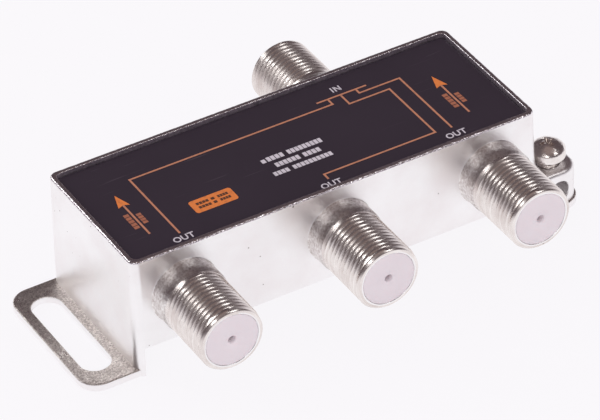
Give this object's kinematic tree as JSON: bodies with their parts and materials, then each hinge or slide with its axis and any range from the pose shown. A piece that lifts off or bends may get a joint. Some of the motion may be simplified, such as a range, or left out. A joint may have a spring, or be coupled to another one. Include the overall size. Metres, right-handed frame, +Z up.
{
  "type": "three-way coaxial splitter",
  "caption": "Die-cast box that shares one coaxial signal among threaded sockets, with slotted mounting ears and a ground clamp screw.",
  "frame": {"origin": "under the middle of the box, in the plane of the ears' underside", "axes": "+Z up through the printed face, -Y towards the output sockets, +X towards the ear with the ground screw"},
  "size_m": [0.077, 0.0486, 0.0185],
  "materials": {
    "nickel_on_zinc": "bright nickel plate on a zinc casting",
    "printed_plate": "satin dark print",
    "tinned_steel": "pressed and tinned",
    "solder": "melted and dull",
    "screw_nickel": "bright nickel plate",
    "insulator_white": "moulded, satin",
    "contact_bronze": "bright",
    "board": "glass fibre board",
    "ferrite": "sintered, matt",
    "enamelled_wire": "enamelled copper",
    "ceramic_disc": "dipped",
    "diode_body": "moulded",
    "resistor_body": "lacquered"
  },
  "bodies": {
    "root": {"housing": "nickel_on_zinc", "face_plate": "printed_plate", "back_cover": "tinned_steel", "cover_seam": "solder", "ground_screw": "screw_nickel", "circuit_board": "board", "insulator_out_1": "insulator_white", "contact_out_1": "contact_bronze", "capacitor_out_1": "ceramic_disc", "insulator_out_2": "insulator_white", "contact_out_2": "contact_bronze", "capacitor_out_2": "ceramic_disc", "insulator_out_3": "insulator_white", "contact_out_3": "contact_bronze", "capacitor_out_3": "ceramic_disc", "insulator_in": "insulator_white", "contact_in": "contact_bronze", "capacitor_in": "ceramic_disc", "matching_1_core": "ferrite", "matching_1_winding": "enamelled_wire", "splitting_1_core": "ferrite", "splitting_1_winding": "enamelled_wire", "matching_2_core": "ferrite", "matching_2_winding": "enamelled_wire", "splitting_2_core": "ferrite", "splitting_2_winding": "enamelled_wire", "choke_core_out_1": "ferrite", "choke_winding_out_1": "enamelled_wire", "choke_core_in": "ferrite", "choke_winding_in": "enamelled_wire", "choke_core_out_3": "ferrite", "choke_winding_out_3": "enamelled_wire", "diode_out_1": "diode_body", "diode_out_3": "diode_body", "isolation_resistor_1": "resistor_body", "isolation_resistor_2": "resistor_body"}
  },
  "joints": []
}
